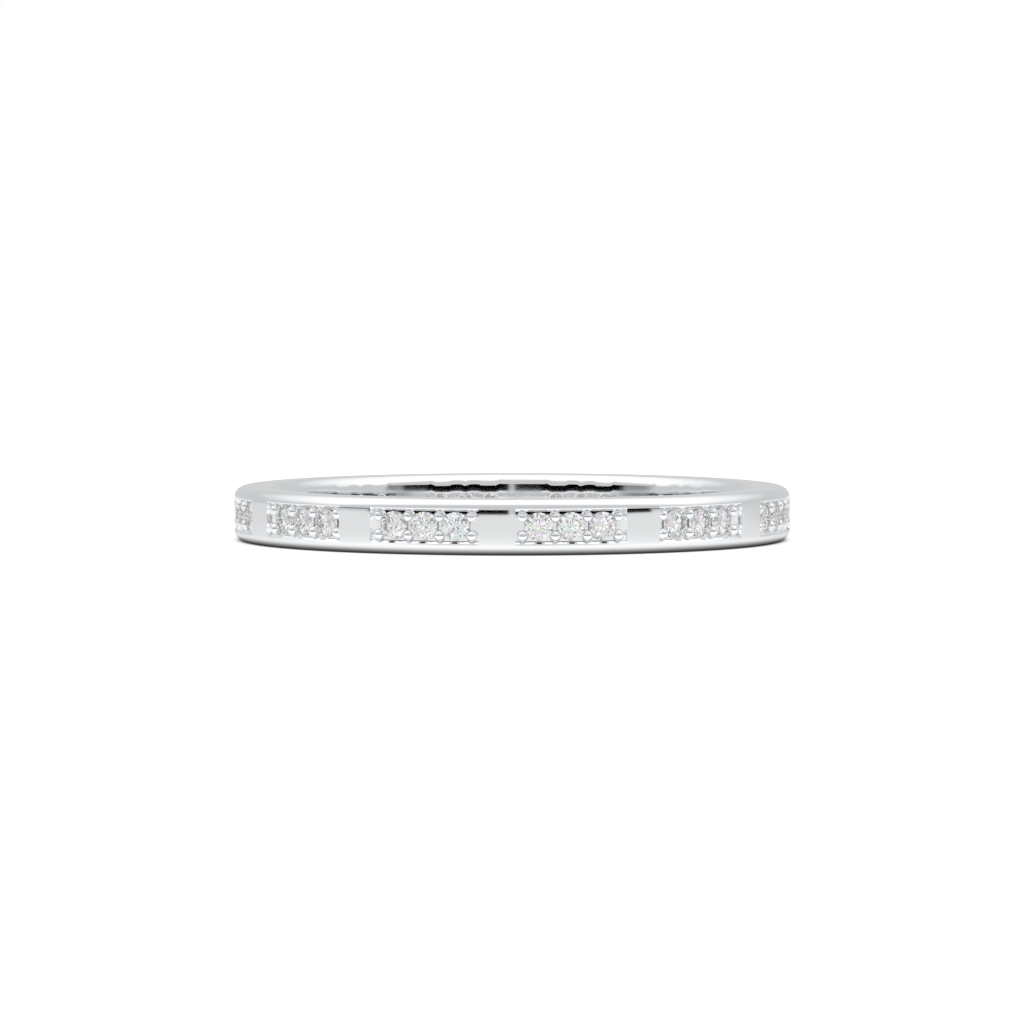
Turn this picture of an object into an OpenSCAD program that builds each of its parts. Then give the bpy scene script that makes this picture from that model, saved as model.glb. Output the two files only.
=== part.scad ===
// Diamond wedding band: a polished hoop with recessed panels of round brilliants between plain bars.
// The ring lies on its side, with its axis along Z and its lower rim at z = 0.

/* [Ring] */
// Diameter of the finger hole
inner_d = 17.3; // [16.5:0.1:19]
// Wall thickness, from the finger hole to the outside
wall_t = 1.7; // [1.6:0.05:1.9]
// Height of the band along its axis
band_h = 2; // [1.9:0.05:2.4]
// Radius of the rounded edges, outside and inside
edge_r = 0.42; // [0.34:0.02:0.48]

/* [Panels] */
// Number of recessed panels round the band
panel_n = 12; // [8:1:12]
// Stones in each panel
stones_per_panel = 3; // [1:1:3]
// Turn of the first panel about the axis, in degrees from +X
panel_turn = 12; // [0:1:30]
// Depth of the panel floor under the outside of the band
panel_depth = 0.3; // [0.26:0.01:0.34]
// Height of the panel floor
panel_h = 1.1; // [1.09:0.01:1.16]
// Height of the panels' middle above the middle of the band
panel_rise = 0.03; // [0:0.01:0.04]
// Size of the chamfer over the upper and lower wall of a panel
wall_chamfer = 0.06; // [0.04:0.01:0.08]
// Depth of the bevel between that chamfer and the outside of the band
bevel_depth = 0.045; // [0.03:0.005:0.06]
// Rise of that bevel, on each side
bevel_rise = 0.068; // [0.04:0.004:0.08]
// Distance from the last bead of a panel to its end wall, along the arc
end_margin = 0.255; // [0.24:0.005:0.32]

/* [Stones] */
// Diameter of a stone at its girdle
stone_d = 1.02; // [0.96:0.01:1.06]
// Distance between neighbouring stones, along the arc at the girdle
stone_pitch = 1.163; // [1.15:0.001:1.2]
// Height of the girdle's underside over the panel floor
girdle_lift = 0.06; // [0.02:0.01:0.08]
// Width of the table, as a share of the stone
table_share = 0.57; // [0.53:0.01:0.62]
// Slope of the crown's main facets, in degrees
crown_slope = 34.5; // [32:0.5:36]
// Slope of the pavilion's main facets, in degrees
pavilion_slope = 40.75; // [40:0.25:42]
// Thickness of the girdle, as a share of the stone
girdle_share = 0.03; // [0.02:0.005:0.04]

/* [Beads and seats] */
// Diameter of a bead
bead_d = 0.42; // [0.38:0.01:0.43]
// Distance between the two rows of beads
bead_rows = 0.672; // [0.65:0.002:0.68]
// How far the bead tops stay under the outside of the band
bead_sunk = 0.02; // [0.01:0.01:0.05]
// Gap between a stone and the metal of its seat
seat_gap = 0.02; // [0.015:0.005:0.03]
// Diameter of the hole behind a stone
hole_d = 0.52; // [0.4:0.02:0.56]
// Diameter of the countersink on the finger side
sink_d = 0.62; // [0.6:0.02:0.7]
// Depth of the countersink
sink_depth = 0.03; // [0.02:0.01:0.05]

/* [Hidden] */
$fn = 96;
metal = [0.86, 0.87, 0.88];
diamond = [0.9, 0.95, 1];
inner_r = inner_d / 2;
outer_r = inner_r + wall_t;
floor_r = outer_r - panel_depth;
mid_h = band_h / 2 + panel_rise;
bead_r = bead_d / 2;
bead_pos = outer_r - bead_sunk - bead_r;
neck_share = 0.86;
neck_l = bead_pos - floor_r + bead_r;
cut_over = 0.3;

stone_r = stone_d / 2;
table_r = stone_r * table_share;
crown_h = (stone_r - table_r) * tan(crown_slope);
girdle_h = stone_d * girdle_share;
pavilion_h = stone_r * tan(pavilion_slope);
girdle_r = floor_r + girdle_lift;
pitch_deg = stone_pitch / girdle_r * 180 / PI;
panel_deg = stones_per_panel * pitch_deg + 2 * end_margin / girdle_r * 180 / PI;
stone_n = panel_n * stones_per_panel;

// Facet layout: stars reach half way to the girdle, lower halves almost to the culet
fold = 8;
star_reach = 0.5;
main_share = 0.23;
half_step = 180 / fold;
flat = cos(half_step);
star_r = table_r * flat + star_reach * (stone_r - table_r * flat);
star_z = crown_h * (stone_r - star_r * flat) / (stone_r - table_r);
tip_r = stone_r * main_share;
tip_z = -pavilion_h * (1 - main_share * flat);

function stone_name(i) = str("stone_", i < 9 ? "0" : "", i + 1);
function panel_angle(p) = panel_turn + p * 360 / panel_n;
function stone_angle(i) = panel_angle(floor(i / stones_per_panel))
    + (i % stones_per_panel - (stones_per_panel - 1) / 2) * pitch_deg;
function ring_point(r, a, z) = [r * cos(a), r * sin(a), z];
// Height at which the plane through a, b and c crosses the upright line over p
function plane_z(a, b, c, p) = let (n = cross(b - a, c - a))
    a[2] - (n[0] * (p[0] - a[0]) + n[1] * (p[1] - a[1])) / n[2];

// Cross-section of the hoop, with a round on each of its four edges
module hoop_section() {
    translate([inner_r + edge_r, 0]) square([wall_t - 2 * edge_r, band_h]);
    translate([inner_r, edge_r]) square([wall_t, band_h - 2 * edge_r]);
    for (x = [inner_r + edge_r, outer_r - edge_r], y = [edge_r, band_h - edge_r])
        translate([x, y]) circle(edge_r);
}

// One recessed panel, centred on +X: floor, straight walls, chamfer, bevelled mouth and radial ends
module panel_cut() {
    floor_y = panel_h / 2;
    chamfer_y = floor_y + wall_chamfer;
    chamfer_r = outer_r - bevel_depth;
    mouth_y = chamfer_y + bevel_rise * (1 + cut_over / bevel_depth);
    half = [
        [floor_r, floor_y], [chamfer_r - wall_chamfer, floor_y],
        [chamfer_r, chamfer_y], [outer_r + cut_over, mouth_y]
    ];
    rotate([0, 0, -panel_deg / 2])
        rotate_extrude(angle = panel_deg)
            translate([0, mid_h])
                polygon(concat(half, [for (i = [3 : -1 : 0]) [half[i][0], -half[i][1]]]));
}

// One round bead on its neck, centred at the origin with its top along +X
module bead() {
    rotate([0, 90, 0])
        rotate_extrude() {
            intersection() {
                circle(bead_r);
                translate([0, -bead_r]) square([bead_r, bead_d]);
            }
            translate([0, -neck_l]) square([bead_r * neck_share, neck_l]);
        }
}

// The beads of one panel, in two rows, one more along the row than there are stones
module panel_beads() {
    for (k = [0 : stones_per_panel], side = [-1, 1])
        rotate([0, 0, (k - stones_per_panel / 2) * pitch_deg])
            translate([bead_pos, 0, mid_h + side * bead_rows / 2]) bead();
}

// Space for one stone on +X: crown, girdle, pavilion seat, through hole and countersink
module stone_drill() {
    gap_r = stone_r + seat_gap;
    hole_r = hole_d / 2;
    steep = tan(pavilion_slope);
    top = girdle_r + girdle_h + crown_h + seat_gap;
    seat = girdle_r - seat_gap - (gap_r - hole_r) * steep;
    sink_slope = (sink_d - hole_d) / 2 / sink_depth;
    rotate([0, 90, 0])
        rotate_extrude()
            polygon([
                [0, inner_r - cut_over], [sink_d / 2 + cut_over * sink_slope, inner_r - cut_over],
                [hole_r, inner_r + sink_depth], [hole_r, seat], [gap_r, girdle_r - seat_gap],
                [gap_r, girdle_r + girdle_h + seat_gap], [table_r + seat_gap, top], [0, top]
            ]);
}

module band() {
    color(metal)
        difference() {
            union() {
                difference() {
                    rotate_extrude() hoop_section();
                    for (p = [0 : panel_n - 1]) rotate([0, 0, panel_angle(p)]) panel_cut();
                }
                for (p = [0 : panel_n - 1]) rotate([0, 0, panel_angle(p)]) panel_beads();
            }
            for (i = [0 : stone_n - 1])
                rotate([0, 0, stone_angle(i)]) translate([0, 0, mid_h]) stone_drill();
        }
}

// Round brilliant with its table up and the underside of its girdle at z = 0
module brilliant() {
    table = [for (i = [0 : fold - 1]) ring_point(table_r, 2 * i * half_step, girdle_h + crown_h)];
    stars = [for (i = [0 : fold - 1]) ring_point(star_r, (2 * i + 1) * half_step, girdle_h + star_z)];
    tips = [for (i = [0 : fold - 1]) ring_point(tip_r, (2 * i + 1) * half_step, tip_z)];
    corner = [for (share = [0, 1, 0.5]) ring_point(stone_r, share * half_step, 0)];
    lift = [0, 0, girdle_h];
    upper_dip = plane_z(stars[0], corner[0] + lift, corner[1] + lift, corner[2]) - girdle_h;
    lower_dip = plane_z(tips[0], corner[0], corner[1], corner[2]);
    rim = 4 * fold;
    upper = [for (k = [0 : rim - 1]) ring_point(stone_r, k * half_step / 2, girdle_h + (k % 2) * upper_dip)];
    lower = [for (k = [0 : rim - 1]) ring_point(stone_r, k * half_step / 2, (k % 2) * lower_dip)];
    s = fold;
    u = 2 * fold;
    l = u + rim;
    t = l + rim;
    culet = t + fold;
    faces = concat(
        [[for (i = [fold - 1 : -1 : 0]) i]],
        [for (i = [0 : fold - 1]) [i, (i + 1) % fold, s + i]],
        [for (i = [0 : fold - 1]) [i, s + i, u + 4 * i, s + (i + fold - 1) % fold]],
        [for (i = [0 : fold - 1]) [s + i, u + 4 * i + 2, u + 4 * i + 1, u + 4 * i]],
        [for (i = [0 : fold - 1]) [s + i, u + (4 * i + 4) % rim, u + 4 * i + 3, u + 4 * i + 2]],
        [for (k = [0 : rim - 1]) [u + k, u + (k + 1) % rim, l + (k + 1) % rim, l + k]],
        [for (i = [0 : fold - 1]) [t + i, l + 4 * i, l + 4 * i + 1, l + 4 * i + 2]],
        [for (i = [0 : fold - 1]) [t + i, l + 4 * i + 2, l + 4 * i + 3, l + (4 * i + 4) % rim]],
        [for (i = [0 : fold - 1]) [culet, t + (i + fold - 1) % fold, l + 4 * i, t + i]]
    );
    polyhedron(concat(table, stars, upper, lower, tips, [[0, 0, -pavilion_h]]), faces);
}

module stone(i) {
    color(diamond)
        rotate([0, 0, stone_angle(i)])
            translate([girdle_r, 0, mid_h])
                rotate([0, 90, 0]) brilliant();
}

band();
for (i = [0 : stone_n - 1])
    stone(i);
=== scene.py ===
import math

import bmesh
import bpy
import numpy as np
from mathutils import Matrix, Vector


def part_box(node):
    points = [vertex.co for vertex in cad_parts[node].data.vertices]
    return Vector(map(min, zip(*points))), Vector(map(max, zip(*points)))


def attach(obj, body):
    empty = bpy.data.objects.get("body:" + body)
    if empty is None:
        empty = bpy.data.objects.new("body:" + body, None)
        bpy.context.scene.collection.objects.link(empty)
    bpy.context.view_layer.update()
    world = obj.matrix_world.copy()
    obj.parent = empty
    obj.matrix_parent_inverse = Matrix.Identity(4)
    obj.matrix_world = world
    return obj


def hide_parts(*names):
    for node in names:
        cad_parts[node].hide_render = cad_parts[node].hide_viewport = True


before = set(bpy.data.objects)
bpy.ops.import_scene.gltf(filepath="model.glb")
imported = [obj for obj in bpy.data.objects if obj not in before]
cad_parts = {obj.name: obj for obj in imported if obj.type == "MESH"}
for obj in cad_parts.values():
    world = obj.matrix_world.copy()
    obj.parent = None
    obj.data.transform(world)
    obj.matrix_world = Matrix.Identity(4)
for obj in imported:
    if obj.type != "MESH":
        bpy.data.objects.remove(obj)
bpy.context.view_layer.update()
mm = 0.001  # shapes are drawn in millimetres and scaled to metres at the end
tiny = 1e-9  # keeps a length from being divided by zero
print("frame loaded:", len(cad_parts), "nodes")


# What each drawn surface is: its kind, its finish, and its direction or its arc's centre. Arcs and rings
# are carried round the ring's axis, balls and spins are turned about a bead's or a stone's.
surfaces = []


def newSurface(kind, finish, run=(0, 0)):
    surfaces.append({"kind": kind, "finish": finish, "run": run})
    return len(surfaces) - 1


def runsOf(outline):
    return [(b[0] - a[0], b[1] - a[1]) for a, b in zip(outline, outline[1:] + outline[:1])]


def arcPoints(centre, r, start, end, steps):
    turns = [math.radians(start + (end - start) * k / steps) for k in range(steps + 1)]
    return [(centre[0] + r * math.cos(t), centre[1] + r * math.sin(t)) for t in turns]


def addSweep(bm, outline, tags, angles, capTag=None):
    # an outline in radius and height, carried round the ring's own axis; it meets itself if it has no caps
    rows = []
    for a in angles:
        rows.append([bm.verts.new((p[0] * math.cos(a), p[0] * math.sin(a), p[1])) for p in outline])
    ends = rows[1:] + rows[:1] if capTag is None else rows[1:]
    for here, there in zip(rows, ends):
        for i, tag in enumerate(tags):
            j = (i + 1) % len(outline)
            bm.faces.new((here[i], here[j], there[j], there[i])).material_index = tag
    if capTag is not None:
        for row in (rows[0], rows[-1]):
            bm.faces.new(row).material_index = capTag


def addSpindle(bm, profile, tags, angle, height, steps):
    # a profile of radius and distance from the ring's axis, turned about a radial axis
    out = Vector((math.cos(angle), math.sin(angle), 0))
    side = Vector((-math.sin(angle), math.cos(angle), 0))
    up = Vector((0, 0, 1))
    base = up * height
    poles = [bm.verts.new(base + out * profile[k][1]) for k in (0, -1)]
    rings = []
    for r, along in profile[1:-1]:
        turns = [2 * math.pi * k / steps for k in range(steps)]
        rings.append([bm.verts.new(base + out * along + (side * math.cos(t) + up * math.sin(t)) * r)
                      for t in turns])
    for k in range(steps):
        n = (k + 1) % steps
        bm.faces.new((poles[0], rings[0][k], rings[0][n])).material_index = tags[0]
        bm.faces.new((poles[1], rings[-1][n], rings[-1][k])).material_index = tags[-1]
        for a, b, tag in zip(rings, rings[1:], tags[1:-1]):
            bm.faces.new((a[k], b[k], b[n], a[n])).material_index = tag


def toObject(bm, name):
    bmesh.ops.recalc_face_normals(bm, faces=bm.faces)
    mesh = bpy.data.meshes.new(name)
    bm.to_mesh(mesh)
    bm.free()
    for _ in surfaces:
        mesh.materials.append(None)
    made = bpy.data.objects.new(name, mesh)
    bpy.context.scene.collection.objects.link(made)
    return made


def combine(target, other, operation):
    step = target.modifiers.new(operation, "BOOLEAN")
    step.operation = operation
    step.solver = "MANIFOLD"
    step.object = other
    shown = target.evaluated_get(bpy.context.evaluated_depsgraph_get())
    result = bpy.data.meshes.new_from_object(shown)
    target.modifiers.clear()
    used = target.data
    target.data = result
    bpy.data.meshes.remove(used)
    bpy.data.objects.remove(other)


# The hoop: the same as the solid's, drawn finer
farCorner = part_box("band")[1]
hoop = {
    "outerR": farCorner.x / mm,
    "height": farCorner.z / mm,
    "wall": 1.7,
    "edgeRound": 0.42,
    "outerCrown": 18.2,  # radius of the barely crowned outside, along the axis
    "innerCrown": 8.4,  # and of the inside
    "turnSteps": 600,
    "roundSteps": 10,
    "crownSteps": 20,
}
innerR = hoop["outerR"] - hoop["wall"]
midHeight = hoop["height"] / 2
cutOver = 0.3  # how far cutters reach past the hoop


def crownedSide(sideR, crown, out):
    # the upper half of one side of the hoop, a crown arc and the edge round; out is 1 outside, -1 inside
    r = hoop["edgeRound"]
    meet = math.asin((midHeight - r) / (crown - r))
    crownCentre = (sideR - out * crown, midHeight)
    roundCentre = (crownCentre[0] + out * (crown - r) * math.cos(meet), hoop["height"] - r)
    return meet, crownCentre, roundCentre


def hoopBlank():
    r, steps = hoop["edgeRound"], hoop["roundSteps"]
    outline, tags = [], []
    for sideR, crown, out in ((hoop["outerR"], hoop["outerCrown"], 1), (innerR, hoop["innerCrown"], -1)):
        meet, crownCentre, roundCentre = crownedSide(sideR, crown, out)
        lowCentre = (roundCentre[0], hoop["height"] - roundCentre[1])
        turn = math.degrees(meet)
        start = 0 if out > 0 else 180
        pieces = [(lowCentre if out > 0 else roundCentre, r, start - 90, start - turn, steps),
                  (crownCentre, crown, start - turn, start + turn, hoop["crownSteps"]),
                  (roundCentre if out > 0 else lowCentre, r, start + turn, start + 90, steps)]
        for centre, size, begin, end, count in pieces:
            tag = newSurface("arc", "polished" if out > 0 else "inside", centre)
            points = arcPoints(centre, size, begin, end, count)
            outline += points if begin == start - 90 else points[1:]
            tags += [tag] * (len(points) - 1)
        tags.append(newSurface("ring", "polished", (1, 0)))
    bm = bmesh.new()
    angles = [2 * math.pi * k / hoop["turnSteps"] for k in range(hoop["turnSteps"])]
    addSweep(bm, outline, tags, angles)
    return bm


# The recessed panels
panel = {
    "stones": 3,
    "depth": 0.3,
    "rise": 0.03,  # of the panel's middle over the middle of the band
    "floorHeight": 1.1,
    "chamfer": 0.06,  # over the straight part of the upper and lower wall
    "bevelDepth": 0.045,
    "bevelRise": 0.068,
    "endMargin": 0.255,  # from the last bead to the end wall, along the arc
    "arcSteps": 48,
    "floorSteps": 16,
    "lowerSlopes": (29.4, 45, 80),  # how far the polished lower bevel, chamfer and wall face up, in degrees
    # from the upper wall down, with the open mouth as the fourth
    "finishes": ("wall", "bevel", "bevel", "bevel", "bevel", "ledge", "wall"),
}
floorR = hoop["outerR"] - panel["depth"]
panelHeight = midHeight + panel["rise"]


def panelCutters(centres):
    floorY = panel["floorHeight"] / 2
    chamferY = floorY + panel["chamfer"]
    chamferR = hoop["outerR"] - panel["bevelDepth"]
    mouthY = chamferY + panel["bevelRise"] * (1 + cutOver / panel["bevelDepth"])
    floorCrown = hoop["outerCrown"] - panel["depth"]
    crownCentre = (hoop["outerR"] - hoop["outerCrown"], midHeight)
    ends = [math.degrees(math.asin((panel["rise"] + y) / floorCrown)) for y in (-floorY, floorY)]
    sides = [(chamferR - panel["chamfer"], floorY), (chamferR, chamferY), (hoop["outerR"] + cutOver, mouthY)]
    outline = arcPoints(crownCentre, floorCrown, *ends, panel["floorSteps"])
    outline += [(r, panelHeight + y) for r, y in sides] + [(r, panelHeight - y) for r, y in sides[::-1]]
    tags = [newSurface("arc", "recess", crownCentre)] * panel["floorSteps"]
    slopes = panel["lowerSlopes"]
    runs = runsOf(outline)[panel["floorSteps"]:-len(slopes)]
    runs += [(-math.tan(math.radians(slope)), 1) for slope in slopes]
    tags += [newSurface("ring", finish, run) for finish, run in zip(panel["finishes"], runs)]
    capTag = newSurface("flat", "wall")
    reach = panel["stones"] / 2 * pitchAngle + panel["endMargin"] / girdleR
    bm = bmesh.new()
    for centre in centres:
        angles = [centre - reach + 2 * reach * k / panel["arcSteps"] for k in range(panel["arcSteps"] + 1)]
        addSweep(bm, outline, tags, angles, capTag)
    return bm


# The seats of the stones, with their holes to the finger side
seat = {
    "stoneR": 0.51,
    "tableShare": 0.57,
    "pitch": 1.163,  # from stone to stone, along the arc at the girdle
    "lift": 0.06,  # of the girdle over the panel floor
    "girdle": 0.0306,
    "gap": 0.02,
    "crownSlope": 34.5,
    "pavilionSlope": 40.75,
    "holeR": 0.26,
    "sinkR": 0.31,  # the countersink on the finger side
    "sinkDepth": 0.03,
    "turnSteps": 64,
    "finishes": ("hole", "hole", "hole", "seat", "seat", "seat", "seat"),  # from the finger side outwards
}
girdleR = floorR + seat["lift"]
pitchAngle = seat["pitch"] / girdleR


def seatProfile():
    gapR = seat["stoneR"] + seat["gap"]
    tableR = seat["stoneR"] * seat["tableShare"]
    crown = (seat["stoneR"] - tableR) * math.tan(math.radians(seat["crownSlope"]))
    steep = math.tan(math.radians(seat["pavilionSlope"]))
    top = girdleR + seat["girdle"] + crown + seat["gap"]
    foot = girdleR - seat["gap"] - (gapR - seat["holeR"]) * steep
    sinkSlope = (seat["sinkR"] - seat["holeR"]) / seat["sinkDepth"]
    return [
        (0, innerR - cutOver),
        (seat["sinkR"] + cutOver * sinkSlope, innerR - cutOver),
        (seat["holeR"], innerR + seat["sinkDepth"]),
        (seat["holeR"], foot),
        (gapR, girdleR - seat["gap"]),
        (gapR, girdleR + seat["girdle"] + seat["gap"]),
        (tableR + seat["gap"], top),
        (0, top),
    ]


def seatCutters(angles, tags):
    bm = bmesh.new()
    for angle in angles:
        addSpindle(bm, seatProfile(), tags, angle, panelHeight, seat["turnSteps"])
    return bm


# The beads that hold the stones
bead = {
    "r": 0.21,
    "rows": 0.672,  # distance between the two rows
    "sunk": 0.02,  # under the outside of the band
    "neckShare": 0.86,
    "turnSteps": 32,
    "arcSteps": 12,
}
beadCentreR = hoop["outerR"] - bead["sunk"] - bead["r"]


def beadPlaces(centres):
    return [(centre + (k - panel["stones"] / 2) * pitchAngle, panelHeight + row * bead["rows"] / 2)
            for centre in centres for k in range(panel["stones"] + 1) for row in (-1, 1)]


def beads(places):
    neckR = bead["r"] * bead["neckShare"]
    neckFoot = floorR - bead["r"]
    meet = -math.degrees(math.acos(bead["neckShare"]))
    ball = arcPoints((0, beadCentreR), bead["r"], 90, meet, bead["arcSteps"])
    profile = [(max(r, 0), along) for r, along in ball] + [(neckR, neckFoot), (0, neckFoot)]
    ballTag = newSurface("ball", "bead")
    neckTag = newSurface("spin", "bead", (0, 1))
    tags = [ballTag] * bead["arcSteps"] + [neckTag] * 2
    bm = bmesh.new()
    for angle, height in places:
        addSpindle(bm, profile, tags, angle, height, bead["turnSteps"])
    return bm


# How the polish turns the normals: these change reflections only, and no shape
pillow = {  # the outside and the panel floors turn a little faster towards their edges
    "polished": (0.3, 5),  # extra tilt at a height of 1 mm from the middle, and the power it grows with,
    "recess": (5.1, 8.3),
    "flatter": 0.0165,  # less a tilt in proportion to that height
    "from": 0.58,  # and both fade out over the edge rounds from this height
    "to": 0.8,
}
swell = {  # the inside is burnished towards the stones' holes: its roundness starts lower there
    "place": (0, 0.15, 0.2, 0.52, 0.6, 0.95, 1.2, 1.31, 1.37, 1.48),  # along the arc, from a panel's middle
    "shift": (0.055, 0.015, 0, 0, 0.042, 0.05, 0.045, 0, -0.035, 0),  # and how much lower
    "from": 0.7,  # the shift fades between these heights over the middle of the band
    "to": 0.9,
}
dash = {  # the lower chamfer mirrors the dark cards under each stone
    "reach": (0.13, 0.21),  # along the arc from the stone's middle: full up to here, and gone from here
    "share": 0.09,  # of the chamfer's slope that is left
}
keepFlat = 0.7  # a corner keeps its face's normal if the true one agrees with it less than this


def turnBetween(angles, places):
    return np.abs((angles - places + math.pi) % (2 * math.pi) - math.pi)


def arcToNearest(places, corner, r):
    # how far each corner is from the nearest place, along an arc of this radius
    angle = np.arctan2(corner[:, 1], corner[:, 0])
    return turnBetween(angle[:, None], np.array(places)[None, :]).min(axis=1) * r


def unit(rows):
    return rows / np.maximum(np.linalg.norm(rows, axis=1, keepdims=True), tiny)


def pillowNormals(true, corner, finish):
    rise = corner[:, 2] - midHeight
    held = np.minimum(np.abs(rise), pillow["from"])
    bend, power = pillow[finish]
    extra = bend * held ** power - pillow["flatter"] * held
    fade = np.clip((pillow["to"] - np.abs(rise)) / (pillow["to"] - pillow["from"]), 0, 1)
    tilted = true.copy()
    tilted[:, 2] += np.sign(rise) * extra * fade
    return tilted


def swellNormals(true, corner, centres):
    along = arcToNearest(centres, corner, innerR)
    rise = corner[:, 2] - midHeight
    height = np.abs(rise)
    fade = np.clip((swell["to"] - height) / (swell["to"] - swell["from"]), 0, 1)
    height = height + np.interp(along, swell["place"], swell["shift"]) * fade
    onCrown = height / hoop["innerCrown"]
    onRound = (height - midHeight + hoop["edgeRound"]) / hoop["edgeRound"]
    slope = np.clip(np.maximum(onCrown, onRound), 0, 1)
    level = np.hypot(true[:, 0], true[:, 1])
    flat = np.sqrt(1 - slope ** 2) / np.maximum(level, tiny)
    return np.column_stack([true[:, 0] * flat, true[:, 1] * flat, np.sign(rise) * slope])


def ledgeNormals(true, corner, stones):
    along = arcToNearest(stones, corner, hoop["outerR"])
    drawn = true.copy()
    drawn[:, 2] *= np.interp(along, dash["reach"], (dash["share"], 1))
    return unit(drawn)


def sweptNormals(row, corner):
    # true normals of a surface carried round the ring's own axis
    r = np.hypot(corner[:, 0], corner[:, 1])
    out = np.column_stack([corner[:, 0] / r, corner[:, 1] / r, np.zeros(len(r))])
    up = np.array([0, 0, 1.0])
    if row["kind"] == "arc":
        off = np.column_stack([r, corner[:, 2]]) - row["run"]
        return out * off[:, :1] + up * off[:, 1:]
    return out * row["run"][1] - up * row["run"][0]


def spunNormals(row, corner, middle, places, stones):
    # true normals of a surface turned about the radial axis of its own bead or stone
    turn = np.arctan2(middle[:, 1], middle[:, 0])
    if row["finish"] == "bead":
        spots = np.array(places)
        along = turnBetween(turn[:, None], spots[None, :, 0]) * beadCentreR
        angle, height = spots[np.hypot(along, middle[:, 2:] - spots[None, :, 1]).argmin(axis=1)].T
        base = beadCentreR
    else:
        angle = np.array(stones)[turnBetween(turn[:, None], np.array(stones)[None, :]).argmin(axis=1)]
        height = np.full(len(angle), panelHeight)
        base = 0
    axis = np.column_stack([np.cos(angle), np.sin(angle), np.zeros(len(angle))])
    off = corner - axis * base
    off[:, 2] -= height
    if row["kind"] == "ball":
        return off
    across = unit(off - axis * (off * axis).sum(axis=1, keepdims=True))
    return across * row["run"][1] - axis * row["run"][0]


def polishedNormals(row, true, corner, stones, centres):
    if row["finish"] == "ledge":
        return ledgeNormals(true, corner, stones)
    if row["kind"] != "arc":
        return true
    if row["finish"] == "inside":
        return swellNormals(true, corner, centres)
    return pillowNormals(true, corner, row["finish"])


def cornerArrays(mesh):
    # of every corner of every face: its place, and its face's middle, normal, area and surface
    size = len(mesh.polygons)
    middle, flat, area = np.empty(size * 3), np.empty(size * 3), np.empty(size)
    tag, count = np.empty(size, int), np.empty(size, int)
    for key, values in (("center", middle), ("normal", flat), ("area", area),
                        ("material_index", tag), ("loop_total", count)):
        mesh.polygons.foreach_get(key, values)
    point, index = np.empty(len(mesh.vertices) * 3), np.empty(len(mesh.loops), int)
    mesh.vertices.foreach_get("co", point)
    mesh.loops.foreach_get("vertex_index", index)
    face = np.repeat(np.arange(size), count)
    corner = point.reshape(-1, 3)[index]
    return corner, middle.reshape(-1, 3)[face], flat.reshape(-1, 3)[face], area[face], tag[face]


def cornerNormals(mesh, places, stones, centres):
    corner, middle, flat, area, tag = cornerArrays(mesh)
    made = flat.copy()
    for k, row in enumerate(surfaces):
        at = np.nonzero(tag == k)[0]
        if not len(at) or row["kind"] == "flat":
            continue
        if row["kind"] in ("arc", "ring"):
            true = sweptNormals(row, corner[at])
        else:
            true = spunNormals(row, corner[at], middle[at], places, stones)
        true = unit(true)
        if ((true * flat[at]).sum(axis=1) * area[at]).sum() < 0:
            true = -true
        true = polishedNormals(row, true, corner[at], stones, centres)
        far = (true * flat[at]).sum(axis=1) < keepFlat  # slivers and caps
        made[at] = np.where(far[:, None], flat[at], true)
        print("  surface", k, row["kind"], row["finish"], len(at), "corners,", int(far.sum()), "kept flat")
    return made


def dressMesh(mesh, finishes, normals):
    tag = np.empty(len(mesh.polygons), int)
    mesh.polygons.foreach_get("material_index", tag)
    mesh.materials.clear()
    order = list(finishes)
    for name in order:
        mesh.materials.append(finishes[name])
    slotOf = np.array([order.index(row["finish"]) for row in surfaces])
    mesh.polygons.foreach_set("material_index", slotOf[tag])
    mesh.polygons.foreach_set("use_smooth", np.ones(len(mesh.polygons), bool))
    mesh.normals_split_custom_set(normals.tolist())


def stoneNames():
    return sorted(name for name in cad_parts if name.startswith("stone_"))


def stoneAngle(name):
    points = [v.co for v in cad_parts[name].data.vertices]
    middle = sum(points, Vector()) / len(points)
    return math.atan2(middle.y, middle.x)


def makeBand(finishes):
    stones = [stoneAngle(name) for name in stoneNames()]
    count = panel["stones"]
    centres = stones[count // 2::count]
    places = beadPlaces(centres)
    # every surface is named before the first object is made, so that all of them share one list
    blank = hoopBlank()
    panels = panelCutters(centres)
    beadSet = beads(places)
    seatTags = [newSurface("spin", finish, run)
                for finish, run in zip(seat["finishes"], runsOf(seatProfile()))]
    band = toObject(blank, "weddingBand")
    combine(band, toObject(panels, "panelCutter"), "DIFFERENCE")
    combine(band, toObject(beadSet, "beadSet"), "UNION")
    for k in range(count):  # neighbouring cutters overlap, so they cut in turns
        combine(band, toObject(seatCutters(stones[k::count], seatTags), "seatCutter"), "DIFFERENCE")
    dressMesh(band.data, finishes, cornerNormals(band.data, places, stones, centres))
    band.data.transform(Matrix.Scale(mm, 4))
    band.data.update()
    print("band drawn:", len(band.data.polygons), "faces,", len(band.data.vertices), "points")
    return band


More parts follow.
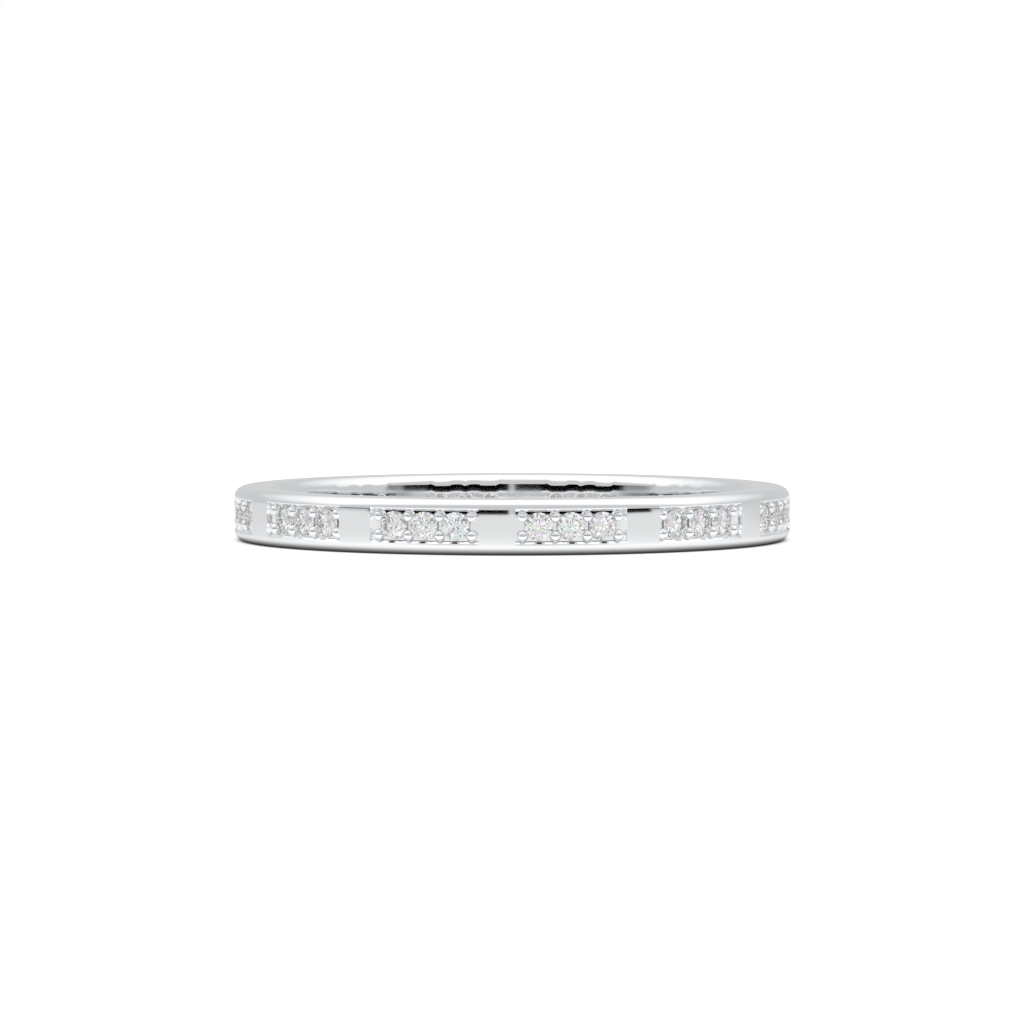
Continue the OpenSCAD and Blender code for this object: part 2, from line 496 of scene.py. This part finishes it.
# Shader sums written as sums: one socket of a node tree
class Shade:
    def __init__(self, tree, socket=None):
        self.tree = tree
        self.socket = socket

    def node(self, kind, settings, values, out=0):
        made = self.tree.nodes.new(kind)
        for key, value in settings.items():
            setattr(made, key, value)
        for key, value in values.items():
            if isinstance(value, Shade):
                self.tree.links.new(value.socket, made.inputs[key])
            else:
                made.inputs[key].default_value = value
        return Shade(self.tree, made.outputs[out]) if made.outputs else None

    def math(self, operation, *values):
        return self.node("ShaderNodeMath", {"operation": operation}, dict(enumerate(values)))

    def __add__(self, other):
        return self.math("ADD", self, other)

    __radd__ = __add__

    def __sub__(self, other):
        return self.math("SUBTRACT", self, other)

    def __rsub__(self, other):
        return self.math("SUBTRACT", other, self)

    def __mul__(self, other):
        return self.math("MULTIPLY", self, other)

    __rmul__ = __mul__


def newMaterial(name):
    made = bpy.data.materials.new(name)
    made.use_nodes = True
    made.node_tree.nodes.clear()
    return made, Shade(made.node_tree)


def noise(shade, place, scale, detail=2.0, out=0):
    return shade.node("ShaderNodeTexNoise", {}, {"Vector": place, "Scale": scale, "Detail": detail}, out)


def smoothRange(shade, value, low, high):
    settings = {"interpolation_type": "SMOOTHSTEP"}
    return shade.node("ShaderNodeMapRange", settings, {"Value": value, "From Min": low, "From Max": high})


def mixColours(shade, share, first, second, blend="MIX"):
    settings = {"data_type": "RGBA", "blend_type": blend}
    return shade.node("ShaderNodeMix", settings, {0: share, 6: first, 7: second}, 2)


def axisOf(shade, place, axis):
    return shade.node("ShaderNodeSeparateXYZ", {}, {0: place}, axis)


polish = {
    "colour": (0.86, 0.868, 0.878, 1),
    "roughness": 0.054,
    "smudge": 0.015,
    "smudgeScale": 260,  # like the scratches' scale, per metre
    "scratchDepth": 0.00000002,
    "scratchScale": 9000,
    "scratchStretch": (1, 1, 12),
    "barTurn": math.radians(27),  # turn of a plain bar about the ring's axis
    "barShare": (0.45, 0.75),  # of the wave round the ring, between which the bars' roughness sets in
}
finishTweaks = {  # roughness and line depth against the hoop's, painted glow (emission standing in for light bounced into the recesses), roughness behind the bars
    "polished": {"rough": 1.0, "lines": 1.0, "lift": 0.0, "bars": 0.0},
    "inside": {"rough": 1.0, "lines": 1.0, "lift": 0.0, "bars": 0.04},
    "wall": {"rough": 1.3, "lines": 1.0, "lift": 0.2, "bars": 0.0},
    "bevel": {"rough": 1.0, "lines": 0.5, "lift": 0.03, "bars": 0.0},
    "ledge": {"rough": 1.0, "lines": 0.5, "lift": 0.06, "bars": 0.0},
    "recess": {"rough": 0.8, "lines": 1.0, "lift": 0.0, "bars": 0.0},
    "bead": {"rough": 0.8, "lines": 0.5, "lift": 0.08, "bars": 0.0},
    "seat": {"rough": 2.0, "lines": 1.5, "lift": 0.35, "bars": 0.0},
    "hole": {"rough": 2.0, "lines": 1.5, "lift": 0.08, "bars": 0.0},
}


def metalFinish(name, rough, lines, lift, bars):
    material, shade = newMaterial(name)
    place = shade.node("ShaderNodeTexCoord", {}, {}, "Object")
    smudges = noise(shade, place, polish["smudgeScale"])
    roughness = (smudges * polish["smudge"] + polish["roughness"]) * rough
    if bars:
        panelCount = len(stoneNames()) // panel["stones"]
        turn = shade.math("ARCTAN2", axisOf(shade, place, "Y"), axisOf(shade, place, "X"))
        wave = shade.math("COSINE", (turn - polish["barTurn"]) * panelCount)
        roughness = roughness + smoothRange(shade, wave, *polish["barShare"]) * bars
    stretched = shade.node("ShaderNodeMapping", {}, {"Vector": place, "Scale": polish["scratchStretch"]})
    scratches = noise(shade, stretched, polish["scratchScale"])
    bump = shade.node("ShaderNodeBump", {}, {
        "Height": scratches, "Strength": 1.0, "Distance": polish["scratchDepth"] * lines})
    # the emission is painted light: a faint glow of the metal's own colour on walls, bevels, beads, seats
    # and holes
    surface = shade.node("ShaderNodeBsdfPrincipled", {}, {
        "Base Color": polish["colour"], "Metallic": 1.0, "Roughness": roughness, "Normal": bump,
        "Emission Color": polish["colour"], "Emission Strength": lift})
    shade.node("ShaderNodeOutputMaterial", {}, {"Surface": surface})
    return material


diamond = {
    "ior": 2.417,
    "roughness": 0.0,
    "fire": 0.34,  # strength of the coloured flecks, painted glints that stand in for the stones' fire
    "lift": 0.03,  # painted glow: an emission standing in for the light that many inner reflections add
    "coarseFlecks": 14000,
    "fineFlecks": 27000,
    "white": (1, 1, 1, 1),
}


def diamondFinish():
    material, shade = newMaterial("cutDiamond")
    place = shade.node("ShaderNodeTexCoord", {}, {}, "Object")
    # painted fire: coloured glints multiplied into the stones' base colour
    paintedFireTint = diamond["white"]
    for scale in (diamond["coarseFlecks"], diamond["fineFlecks"]):
        flecks = shade.node("ShaderNodeTexVoronoi", {}, {"Vector": place, "Scale": scale}, "Color")
        paintedFireTint = mixColours(shade, diamond["fire"], paintedFireTint, flecks, "MULTIPLY")
    surface = shade.node("ShaderNodeBsdfPrincipled", {}, {
        "Base Color": paintedFireTint, "Roughness": diamond["roughness"], "IOR": diamond["ior"],
        "Transmission Weight": 1.0,
        "Emission Color": diamond["white"], "Emission Strength": diamond["lift"]})
    shade.node("ShaderNodeOutputMaterial", {}, {"Surface": surface})
    return material


band = makeBand({name: metalFinish(name + "Metal", **tweak) for name, tweak in finishTweaks.items()})
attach(band, "root")
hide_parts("band")
print("band placed")

stoneFinish = diamondFinish()
for name in stoneNames():
    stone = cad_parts[name]
    stone.data.materials.clear()
    stone.data.materials.append(stoneFinish)
print("stones finished:", len(stoneNames()))


# The studio: a pale surround and floor, two far dark cards in front, one broad soft light overhead
def plainSheet(name, corners, material, faces=((0, 1, 2, 3),)):
    mesh = bpy.data.meshes.new(name)
    mesh.from_pydata(corners, [], faces)
    mesh.materials.append(material)
    made = bpy.data.objects.new(name, mesh)
    bpy.context.scene.collection.objects.link(made)
    return made


surround = {
    "plain": (0.655, 0.662, 0.668, 1),
    "backdrop": (1.0, 1.0, 1.0, 1),  # what the camera sees
    "stoneBright": (1.45, 1.48, 1.53, 1),  # light through the stones comes from bright and dark patches
    "stoneDark": (0.1, 0.1, 0.11, 1),
    "patchScale": 3.0,
    "patchDetail": 1.0,
    "patchRange": (0.44, 0.52),
    "hueScale": 9.0,
    "hueDetail": 0.0,
    "hueShare": 0.8,
}


def makeWorld():
    world = bpy.data.worlds.new("studioWorld")
    bpy.context.scene.world = world
    world.use_nodes = True
    world.node_tree.nodes.clear()
    shade = Shade(world.node_tree)
    way = shade.node("ShaderNodeTexCoord", {}, {}, "Generated")
    spots = noise(shade, way, surround["patchScale"], surround["patchDetail"])
    hues = noise(shade, way, surround["hueScale"], surround["hueDetail"], "Color")
    bright = mixColours(shade, surround["hueShare"], surround["stoneBright"], hues, "OVERLAY")
    patches = smoothRange(shade, spots, *surround["patchRange"])
    stoneLight = mixColours(shade, patches, surround["stoneDark"], bright)
    throughStone = shade.node("ShaderNodeLightPath", {}, {}, "Is Transmission Ray")
    around = mixColours(shade, throughStone, surround["plain"], stoneLight)
    cameraRay = shade.node("ShaderNodeLightPath", {}, {}, "Is Camera Ray")
    colour = mixColours(shade, cameraRay, around, surround["backdrop"])
    light = shade.node("ShaderNodeBackground", {}, {"Color": colour, "Strength": 1.0})
    shade.node("ShaderNodeOutputWorld", {}, {"Surface": light})


floor = {
    "size": 40.0,
    "drop": 0.004 * mm,
    "colour": (0.45, 0.45, 0.45, 1),
    "lift": 0.75,  # light that the camera sees over its colour
    # painted shadow: the floor's contact shadows are drawn into its light by distance, not cast
    "contactSeen": (-0.36 * mm, 0.03 * mm),  # the shadow under the ring, from its outline: for the camera,
    "contactMirrored": (-0.31 * mm, 0.21 * mm),  # for the ring,
    "contactFade": 0.5 * mm,  # and where its last weak part ends
    "contactFront": 0.16 * mm,  # how much smaller it is in front of the ring
    "contactWeak": 0.15,
    "contactDark": 0.04,
    # painted light: the floor's glow in reflections is drawn by place, brightest beside the ring in front
    "glowFar": 0.855,  # the floor as the ring reflects it: brightness far off,
    "glowBack": 0.9,  # share of it that is left behind the ring,
    "glowBackTurn": (-0.6, 0.3),
    "glowCorner": 0.09,  # how much is missing behind on the right,
    "glowCornerTurn": (0.1, -0.4),
    "glowCornerSide": (0.3, 0.9),
    "glowNear": 0.31,  # what is added beside the ring in front,
    "glowNearTurn": (0.0, 1.0),
    "glowReach": 4 * mm,  # and how soon that fades; turns run from -1 behind the ring to 1 in front
}


def contactShade(shade, beyond, reach):
    # painted shade: how bright the floor is drawn, by its distance beyond the ring's outline
    weak = floor["contactWeak"]
    close = smoothRange(shade, beyond, *reach) * (1 - weak)
    return close + smoothRange(shade, beyond, 0, floor["contactFade"]) * weak


def floorGlow(shade, outside, forward, right):
    # painted light: a brightness drawn by place, not given by any lamp
    fade = shade.math("MINIMUM", shade.math("EXPONENT", outside * (-1 / floor["glowReach"])), 1.0)
    near = fade * smoothRange(shade, forward, *floor["glowNearTurn"]) * floor["glowNear"]
    cornerTurn = smoothRange(shade, forward, *floor["glowCornerTurn"])
    corner = cornerTurn * smoothRange(shade, right, *floor["glowCornerSide"]) * floor["glowCorner"]
    back = smoothRange(shade, forward, *floor["glowBackTurn"]) * (1 - floor["glowBack"]) + floor["glowBack"]
    return (back - corner) * floor["glowFar"] + near


def makeFloor():
    # the camera sees a pale floor under the lights with a painted contact shadow; the metal and the stones
    # see a painted glow with its own painted contact shadow, brightest beside the ring
    material, shade = newMaterial("paleFloor")
    place = shade.node("ShaderNodeNewGeometry", {}, {}, "Position")
    r = shade.node("ShaderNodeVectorMath", {"operation": "LENGTH"}, {0: place}, "Value")
    forward = shade.math("DIVIDE", axisOf(shade, place, "Y"), r) * -1
    right = shade.math("DIVIDE", axisOf(shade, place, "X"), r)
    outside = r - hoop["outerR"] * mm
    inside = innerR * mm - r
    shifted = outside + shade.math("MAXIMUM", forward, 0.0) * floor["contactFront"]
    # painted shade: contact shadows drawn from the distance to the ring's outline, outside and inside
    paintedSeenShade, paintedMirroredShade = [contactShade(shade, beyond, floor[key]) + contactShade(shade, inside, floor[key])
                     for beyond, key in ((shifted, "contactSeen"), (outside, "contactMirrored"))]
    base = shade.node("ShaderNodeBsdfDiffuse", {}, {"Color": floor["colour"]})
    lift = shade.node("ShaderNodeEmission", {}, {"Strength": paintedSeenShade * floor["lift"]})
    seen = shade.node("ShaderNodeAddShader", {}, {0: base, 1: lift})
    # painted shadow and painted glow: the floor that the metal and the stones reflect is drawn, not lit
    shadow = paintedMirroredShade * (1 - floor["contactDark"]) + floor["contactDark"]
    glow = shade.node("ShaderNodeEmission", {}, {
        "Strength": shadow * floorGlow(shade, outside, forward, right)})
    cameraRay = shade.node("ShaderNodeLightPath", {}, {}, "Is Camera Ray")
    both = shade.node("ShaderNodeMixShader", {}, {0: cameraRay, 1: glow, 2: seen})
    shade.node("ShaderNodeOutputMaterial", {}, {"Surface": both})
    s = floor["size"] / 2
    z = -floor["drop"]
    plainSheet("studioFloor", [(-s, -s, z), (s, -s, z), (s, s, z), (-s, s, z)], material)


cards = {
    "r": 350 * mm,
    "top": 72 * mm,
    "gap": 16 * mm,  # between the two, straight in front of the ring
    "left": ((61, 58.5), (80, 70)),  # turns from the front between which the black and its veil end
    "right": ((59, 57), (69, 65)),
    "veil": 0.6,  # how dense the veil is,
    "veilRise": (6 * mm, 22 * mm),  # and the heights between which it sets in
    "steps": 48,
}


def cardMaterial(name, core, wing):
    # black as far as its core reaches, then a thinner veil higher up
    material, shade = newMaterial(name)
    place = shade.node("ShaderNodeNewGeometry", {}, {}, "Position")
    forward = axisOf(shade, place, "Y") * (-1 / cards["r"])
    risen = smoothRange(shade, axisOf(shade, place, "Z"), *cards["veilRise"])
    veil = smoothRange(shade, forward, *wing) * risen * cards["veil"]
    share = shade.math("MAXIMUM", smoothRange(shade, forward, *core), veil)
    black = shade.node("ShaderNodeBsdfDiffuse", {}, {"Color": (0, 0, 0, 1)})
    clear = shade.node("ShaderNodeBsdfTransparent", {}, {})
    surface = shade.node("ShaderNodeMixShader", {}, {0: share, 1: clear, 2: black})
    shade.node("ShaderNodeOutputMaterial", {}, {"Surface": surface})
    return material


def makeCards():
    r, steps = cards["r"], cards["steps"]
    for name, side in (("left", -1), ("right", 1)):
        core, wing = [[math.cos(math.radians(turn)) for turn in ends] for ends in cards[name]]
        start, end = cards["gap"] / 2 / r, math.acos(wing[0])
        turns = [start + (end - start) * k / steps for k in range(steps + 1)]
        foot = [(side * r * math.sin(t), -r * math.cos(t), 0) for t in turns]
        corners = foot + [(x, y, cards["top"]) for x, y, z in foot]
        faces = [(k, k + 1, k + steps + 2, k + steps + 1) for k in range(steps)]
        card = plainSheet(name + "Card", corners, cardMaterial(name + "CardDark", core, wing), faces)
        card.visible_camera = False
        card.visible_diffuse = False
        card.visible_shadow = False
        card.visible_transmission = False


softbox = {
    "radiance": 1.6,
    "height": 150 * mm,
    "front": (-126 * mm, -3 * mm),  # where the light starts, and where it is full
    "back": (375 * mm, -165 * mm),
    "side": (510 * mm, 45 * mm),
}


def makeSoftbox():
    material, shade = newMaterial("softLight")
    place = shade.node("ShaderNodeNewGeometry", {}, {}, "Position")
    across = shade.math("ABSOLUTE", axisOf(shade, place, "X"))
    along = axisOf(shade, place, "Y")
    share = smoothRange(shade, across, *softbox["side"])
    for edge in ("front", "back"):
        share = share * smoothRange(shade, along, *softbox[edge])
    light = shade.node("ShaderNodeEmission", {}, {"Strength": softbox["radiance"]})
    clear = shade.node("ShaderNodeBsdfTransparent", {}, {})
    faded = shade.node("ShaderNodeMixShader", {}, {0: share, 1: clear, 2: light})
    shade.node("ShaderNodeOutputMaterial", {}, {"Surface": faded})
    half, front, back = [softbox[key][0] for key in ("side", "front", "back")]
    z = softbox["height"]
    corners = [(-half, front, z), (half, front, z), (half, back, z), (-half, back, z)]
    box = plainSheet("softbox", corners, material)
    box.visible_camera = False


view = {
    "lens": 200,
    "sensor": 36,
    "distance": 211.86 * mm,
    "elevation": 3.08,  # in degrees, from the ring's middle at the height of the aim
    "aimHeight": 1.01 * mm,
    "clip": (1 * mm, 100.0),
}


def makeCamera():
    lens = bpy.data.cameras.new("camera")
    lens.lens = view["lens"]
    lens.sensor_width = view["sensor"]
    lens.clip_start, lens.clip_end = view["clip"]
    rise = math.radians(view["elevation"])
    away = Vector((0, -math.cos(rise), math.sin(rise)))
    made = bpy.data.objects.new("camera", lens)
    made.location = Vector((0, 0, view["aimHeight"])) + away * view["distance"]
    made.rotation_euler = (-away).to_track_quat("-Z", "Y").to_euler()
    bpy.context.scene.collection.objects.link(made)
    bpy.context.scene.camera = made


makeWorld()
makeFloor()
makeCards()
makeSoftbox()
makeCamera()
bpy.context.scene.view_settings.view_transform = "Standard"
print("studio ready")
